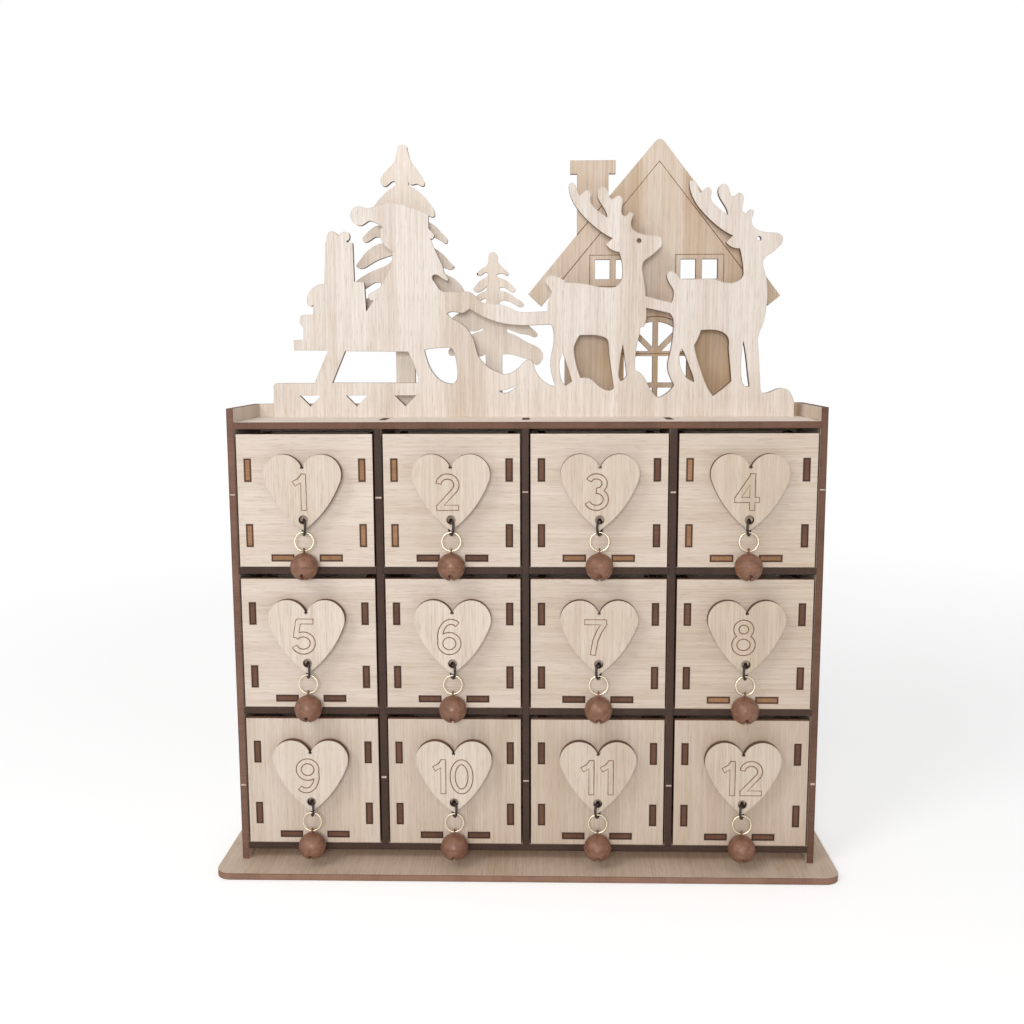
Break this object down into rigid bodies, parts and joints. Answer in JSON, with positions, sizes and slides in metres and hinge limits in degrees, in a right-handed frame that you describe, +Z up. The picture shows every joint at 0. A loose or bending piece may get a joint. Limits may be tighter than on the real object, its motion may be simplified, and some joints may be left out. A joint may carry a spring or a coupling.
{
  "type": "wooden advent calendar",
  "caption": "Plywood cabinet of small drawers with heart plaques and jingle bells, on a base board, with cut-out winter scenery standing on top.",
  "frame": {"origin": "under the middle of the base board", "axes": "+Z up, drawers open towards -Y, +X to the right seen from the front"},
  "size_m": [0.278, 0.08, 0.329],
  "materials": {
    "plywood": "matte",
    "scenery_plywood": "matte",
    "ring_wire": "satin",
    "bell_paint": "satin"
  },
  "bodies": {
    "cabinet": {"base_board": "plywood", "left_side": "plywood", "right_side": "plywood", "back_panel": "plywood", "top_deck": "plywood", "upper_shelf": "plywood", "lower_shelf": "plywood", "cabinet_floor": "plywood", "divider_left": "plywood", "divider_middle": "plywood", "divider_right": "plywood", "front_scene": "scenery_plywood"},
    "drawer_01": {"drawer_01": "plywood", "heart_01": "plywood"},
    "rings_01": {"rings_01": "ring_wire"},
    "bell_01": {"bell_01": "bell_paint"},
    "drawer_02": {"drawer_02": "plywood", "heart_02": "plywood"},
    "rings_02": {"rings_02": "ring_wire"},
    "bell_02": {"bell_02": "bell_paint"},
    "drawer_03": {"drawer_03": "plywood", "heart_03": "plywood"},
    "rings_03": {"rings_03": "ring_wire"},
    "bell_03": {"bell_03": "bell_paint"},
    "drawer_04": {"drawer_04": "plywood", "heart_04": "plywood"},
    "rings_04": {"rings_04": "ring_wire"},
    "bell_04": {"bell_04": "bell_paint"},
    "drawer_05": {"drawer_05": "plywood", "heart_05": "plywood"},
    "rings_05": {"rings_05": "ring_wire"},
    "bell_05": {"bell_05": "bell_paint"},
    "drawer_06": {"drawer_06": "plywood", "heart_06": "plywood"},
    "rings_06": {"rings_06": "ring_wire"},
    "bell_06": {"bell_06": "bell_paint"},
    "drawer_07": {"drawer_07": "plywood", "heart_07": "plywood"},
    "rings_07": {"rings_07": "ring_wire"},
    "bell_07": {"bell_07": "bell_paint"},
    "drawer_08": {"drawer_08": "plywood", "heart_08": "plywood"},
    "rings_08": {"rings_08": "ring_wire"},
    "bell_08": {"bell_08": "bell_paint"},
    "drawer_09": {"drawer_09": "plywood", "heart_09": "plywood"},
    "rings_09": {"rings_09": "ring_wire"},
    "bell_09": {"bell_09": "bell_paint"},
    "drawer_10": {"drawer_10": "plywood", "heart_10": "plywood"},
    "rings_10": {"rings_10": "ring_wire"},
    "bell_10": {"bell_10": "bell_paint"},
    "drawer_11": {"drawer_11": "plywood", "heart_11": "plywood"},
    "rings_11": {"rings_11": "ring_wire"},
    "bell_11": {"bell_11": "bell_paint"},
    "drawer_12": {"drawer_12": "plywood", "heart_12": "plywood"},
    "rings_12": {"rings_12": "ring_wire"},
    "bell_12": {"bell_12": "bell_paint"}
  },
  "joints": [
    {"name": "drawer_01_slide", "type": "slide", "parent": "cabinet", "child": "drawer_01", "axis": [0, -1, 0], "range_m": [0, 0.04]},
    {"name": "rings_01_swing", "type": "hinge", "parent": "drawer_01", "child": "rings_01", "pos_m": [-0.09638, -0.0295, 0.16103], "axis": [0, 1, 0], "range_deg": [-35, 35]},
    {"name": "bell_01_tip", "type": "hinge", "parent": "rings_01", "child": "bell_01", "pos_m": [-0.09638, -0.03097, 0.14731], "axis": [-1, 0, 0], "range_deg": [0, 60]},
    {"name": "drawer_02_slide", "type": "slide", "parent": "cabinet", "child": "drawer_02", "axis": [0, -1, 0], "range_m": [0, 0.04]},
    {"name": "rings_02_swing", "type": "hinge", "parent": "drawer_02", "child": "rings_02", "pos_m": [-0.03213, -0.0295, 0.16103], "axis": [0, 1, 0], "range_deg": [-35, 35]},
    {"name": "bell_02_tip", "type": "hinge", "parent": "rings_02", "child": "bell_02", "pos_m": [-0.03213, -0.03097, 0.14731], "axis": [-1, 0, 0], "range_deg": [0, 60]},
    {"name": "drawer_03_slide", "type": "slide", "parent": "cabinet", "child": "drawer_03", "axis": [0, -1, 0], "range_m": [0, 0.04]},
    {"name": "rings_03_swing", "type": "hinge", "parent": "drawer_03", "child": "rings_03", "pos_m": [0.03213, -0.0295, 0.16103], "axis": [0, 1, 0], "range_deg": [-35, 35]},
    {"name": "bell_03_tip", "type": "hinge", "parent": "rings_03", "child": "bell_03", "pos_m": [0.03213, -0.03097, 0.14731], "axis": [-1, 0, 0], "range_deg": [0, 60]},
    {"name": "drawer_04_slide", "type": "slide", "parent": "cabinet", "child": "drawer_04", "axis": [0, -1, 0], "range_m": [0, 0.04]},
    {"name": "rings_04_swing", "type": "hinge", "parent": "drawer_04", "child": "rings_04", "pos_m": [0.09638, -0.0295, 0.16103], "axis": [0, 1, 0], "range_deg": [-35, 35]},
    {"name": "bell_04_tip", "type": "hinge", "parent": "rings_04", "child": "bell_04", "pos_m": [0.09638, -0.03097, 0.14731], "axis": [-1, 0, 0], "range_deg": [0, 60]},
    {"name": "drawer_05_slide", "type": "slide", "parent": "cabinet", "child": "drawer_05", "axis": [0, -1, 0], "range_m": [0, 0.04]},
    {"name": "rings_05_swing", "type": "hinge", "parent": "drawer_05", "child": "rings_05", "pos_m": [-0.09638, -0.0295, 0.09703], "axis": [0, 1, 0], "range_deg": [-35, 35]},
    {"name": "bell_05_tip", "type": "hinge", "parent": "rings_05", "child": "bell_05", "pos_m": [-0.09638, -0.03097, 0.08331], "axis": [-1, 0, 0], "range_deg": [0, 60]},
    {"name": "drawer_06_slide", "type": "slide", "parent": "cabinet", "child": "drawer_06", "axis": [0, -1, 0], "range_m": [0, 0.04]},
    {"name": "rings_06_swing", "type": "hinge", "parent": "drawer_06", "child": "rings_06", "pos_m": [-0.03213, -0.0295, 0.09703], "axis": [0, 1, 0], "range_deg": [-35, 35]},
    {"name": "bell_06_tip", "type": "hinge", "parent": "rings_06", "child": "bell_06", "pos_m": [-0.03213, -0.03097, 0.08331], "axis": [-1, 0, 0], "range_deg": [0, 60]},
    {"name": "drawer_07_slide", "type": "slide", "parent": "cabinet", "child": "drawer_07", "axis": [0, -1, 0], "range_m": [0, 0.04]},
    {"name": "rings_07_swing", "type": "hinge", "parent": "drawer_07", "child": "rings_07", "pos_m": [0.03213, -0.0295, 0.09703], "axis": [0, 1, 0], "range_deg": [-35, 35]},
    {"name": "bell_07_tip", "type": "hinge", "parent": "rings_07", "child": "bell_07", "pos_m": [0.03213, -0.03097, 0.08331], "axis": [-1, 0, 0], "range_deg": [0, 60]},
    {"name": "drawer_08_slide", "type": "slide", "parent": "cabinet", "child": "drawer_08", "axis": [0, -1, 0], "range_m": [0, 0.04]},
    {"name": "rings_08_swing", "type": "hinge", "parent": "drawer_08", "child": "rings_08", "pos_m": [0.09638, -0.0295, 0.09703], "axis": [0, 1, 0], "range_deg": [-35, 35]},
    {"name": "bell_08_tip", "type": "hinge", "parent": "rings_08", "child": "bell_08", "pos_m": [0.09638, -0.03097, 0.08331], "axis": [-1, 0, 0], "range_deg": [0, 60]},
    {"name": "drawer_09_slide", "type": "slide", "parent": "cabinet", "child": "drawer_09", "axis": [0, -1, 0], "range_m": [0, 0.04]},
    {"name": "rings_09_swing", "type": "hinge", "parent": "drawer_09", "child": "rings_09", "pos_m": [-0.09638, -0.0295, 0.03303], "axis": [0, 1, 0], "range_deg": [-35, 35]},
    {"name": "bell_09_tip", "type": "hinge", "parent": "rings_09", "child": "bell_09", "pos_m": [-0.09638, -0.03097, 0.01931], "axis": [-1, 0, 0], "range_deg": [0, 60]},
    {"name": "drawer_10_slide", "type": "slide", "parent": "cabinet", "child": "drawer_10", "axis": [0, -1, 0], "range_m": [0, 0.04]},
    {"name": "rings_10_swing", "type": "hinge", "parent": "drawer_10", "child": "rings_10", "pos_m": [-0.03213, -0.0295, 0.03303], "axis": [0, 1, 0], "range_deg": [-35, 35]},
    {"name": "bell_10_tip", "type": "hinge", "parent": "rings_10", "child": "bell_10", "pos_m": [-0.03213, -0.03097, 0.01931], "axis": [-1, 0, 0], "range_deg": [0, 60]},
    {"name": "drawer_11_slide", "type": "slide", "parent": "cabinet", "child": "drawer_11", "axis": [0, -1, 0], "range_m": [0, 0.04]},
    {"name": "rings_11_swing", "type": "hinge", "parent": "drawer_11", "child": "rings_11", "pos_m": [0.03213, -0.0295, 0.03303], "axis": [0, 1, 0], "range_deg": [-35, 35]},
    {"name": "bell_11_tip", "type": "hinge", "parent": "rings_11", "child": "bell_11", "pos_m": [0.03213, -0.03097, 0.01931], "axis": [-1, 0, 0], "range_deg": [0, 60]},
    {"name": "drawer_12_slide", "type": "slide", "parent": "cabinet", "child": "drawer_12", "axis": [0, -1, 0], "range_m": [0, 0.04]},
    {"name": "rings_12_swing", "type": "hinge", "parent": "drawer_12", "child": "rings_12", "pos_m": [0.09638, -0.0295, 0.03303], "axis": [0, 1, 0], "range_deg": [-35, 35]},
    {"name": "bell_12_tip", "type": "hinge", "parent": "rings_12", "child": "bell_12", "pos_m": [0.09638, -0.03097, 0.01931], "axis": [-1, 0, 0], "range_deg": [0, 60]}
  ]
}
